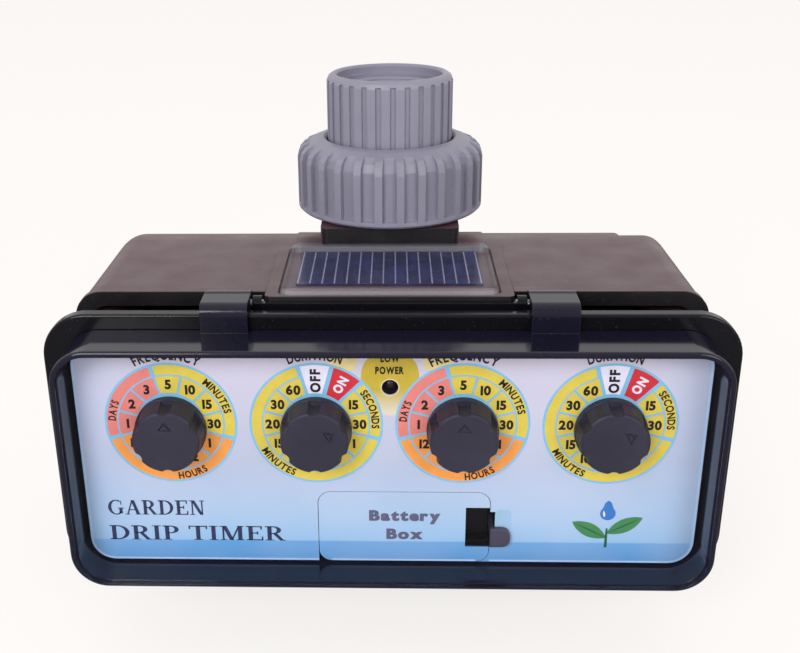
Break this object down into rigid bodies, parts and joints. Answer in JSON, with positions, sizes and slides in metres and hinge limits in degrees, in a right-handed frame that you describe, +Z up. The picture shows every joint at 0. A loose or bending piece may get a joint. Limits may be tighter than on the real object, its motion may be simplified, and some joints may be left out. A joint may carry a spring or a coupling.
{
  "type": "drip irrigation timer",
  "caption": "Tap-hung irrigation timer: black case, flip-up clear cover over printed dials and knobs, solar cell on top, swivel tap connector, threaded outlets below.",
  "frame": {"origin": "on the tap inlet's axis, at the inner end of the tap thread where the tap washer sits", "axes": "+Z up along the tap inlet, +X along the case's width, -Y out of the dial panel towards the user"},
  "size_m": [0.1566, 0.1021, 0.126],
  "materials": {
    "case_matte": "fine moulded texture, greyish black",
    "case_gloss": "polished black",
    "seal_rubber": "matte",
    "screw_steel": "zinc plated",
    "pin_steel": "bright",
    "printed_label": "printed film, pale lavender fading to sky blue",
    "clear_window": "clear acrylic",
    "solar_bezel": "satin black",
    "solar_silicon": "blue silicon with fine silver lines",
    "clear_lens": "clear polycarbonate",
    "knob_black": "satin black",
    "shaft_plastic": "white acetal",
    "switch_plastic": "dark blue",
    "circuit_board": "green solder mask",
    "chip_black": "matte",
    "capacitor_sleeve": "shrink sleeve",
    "plug_white": "white nylon",
    "led_red": "tinted epoxy, unlit",
    "cell_wrap": "plain wrapper",
    "contact_metal": "nickel plated",
    "bay_plastic": "moulded black",
    "latch_grey": "moulded dark grey",
    "tap_grey": "moulded lilac grey",
    "washer_rubber": "black rubber",
    "filter_plastic": "white",
    "valve_plastic": "glass-filled nylon",
    "coil_copper": "taped copper winding",
    "plunger_steel": "turned",
    "lead_red": "insulated wire",
    "lead_black": "insulated wire"
  },
  "bodies": {
    "case": {"battery_bay": "bay_plastic", "battery_leads": "lead_red", "board_capacitors": "capacitor_sleeve", "board_plugs": "plug_white", "board_screws": "screw_steel", "bonnet_screws": "screw_steel", "case_gasket": "seal_rubber", "case_screws": "screw_steel", "control_board": "circuit_board", "cover_hinge_pins": "pin_steel", "face_label": "printed_label", "front_housing": "case_gloss", "inlet_manifold": "valve_plastic", "inlet_spigot": "case_matte", "left_plunger_spring": "pin_steel", "low_power_led": "led_red", "rear_housing": "case_matte", "right_plunger_spring": "pin_steel", "rotary_switches": "switch_plastic", "solar_bezel": "solar_bezel", "solar_cell": "solar_silicon", "solar_leads": "lead_red", "solar_lens": "clear_lens", "solenoid_coils": "coil_copper", "solenoid_leads": "lead_black", "timer_chip": "chip_black", "valve_bodies": "valve_plastic", "valve_bonnets": "valve_plastic", "valve_diaphragms": "washer_rubber"},
    "cover": {"cover_frame": "case_gloss", "cover_window": "clear_window"},
    "battery_box": {"battery_tray": "case_gloss", "battery_label": "printed_label", "battery_cells": "cell_wrap", "battery_contacts": "contact_metal"},
    "latch": {"battery_latch": "latch_grey"},
    "swivel": {"swivel_nut": "tap_grey", "tap_adaptor": "tap_grey", "tap_reducer": "tap_grey", "tap_washer": "washer_rubber", "inlet_filter": "filter_plastic", "swivel_washer": "washer_rubber"},
    "left_plunger_body": {"left_plunger": "plunger_steel"},
    "right_plunger_body": {"right_plunger": "plunger_steel"},
    "left_frequency_dial": {"left_frequency_knob": "knob_black", "left_frequency_shaft": "shaft_plastic"},
    "left_duration_dial": {"left_duration_knob": "knob_black", "left_duration_shaft": "shaft_plastic"},
    "right_frequency_dial": {"right_frequency_knob": "knob_black", "right_frequency_shaft": "shaft_plastic"},
    "right_duration_dial": {"right_duration_knob": "knob_black", "right_duration_shaft": "shaft_plastic"}
  },
  "joints": [
    {"name": "cover_hinge", "type": "hinge", "parent": "case", "child": "cover", "pos_m": [0, -0.0582, -0.0282], "axis": [-1, 0, 0], "range_deg": [0, 100]},
    {"name": "left_frequency_turn", "type": "hinge", "parent": "case", "child": "left_frequency_dial", "pos_m": [-0.0495, -0.0686, -0.0546], "axis": [0, 1, 0], "range_deg": [0, 330]},
    {"name": "left_duration_turn", "type": "hinge", "parent": "case", "child": "left_duration_dial", "pos_m": [-0.0165, -0.0686, -0.0546], "axis": [0, 1, 0], "range_deg": [-60, 270]},
    {"name": "right_frequency_turn", "type": "hinge", "parent": "case", "child": "right_frequency_dial", "pos_m": [0.0165, -0.0686, -0.0546], "axis": [0, 1, 0], "range_deg": [0, 330]},
    {"name": "right_duration_turn", "type": "hinge", "parent": "case", "child": "right_duration_dial", "pos_m": [0.0495, -0.0686, -0.0546], "axis": [0, 1, 0], "range_deg": [-60, 270]},
    {"name": "battery_box_slide", "type": "slide", "parent": "case", "child": "battery_box", "axis": [0, -1, 0], "range_m": [0, 0.0065]},
    {"name": "latch_slide", "type": "slide", "parent": "case", "child": "latch", "axis": [0, 0, -1], "range_m": [-0.005, 0]},
    {"name": "swivel_turn", "type": "hinge", "parent": "case", "child": "swivel", "pos_m": [0, 0, -0.0138], "axis": [0, 0, 1], "continuous": true},
    {"name": "left_plunger_lift", "type": "slide", "parent": "case", "child": "left_plunger_body", "axis": [0, 0, 1], "range_m": [0, 0.002], "deforming": ["left_plunger_spring"]},
    {"name": "right_plunger_lift", "type": "slide", "parent": "case", "child": "right_plunger_body", "axis": [0, 0, 1], "range_m": [0, 0.002], "deforming": ["right_plunger_spring"]}
  ]
}
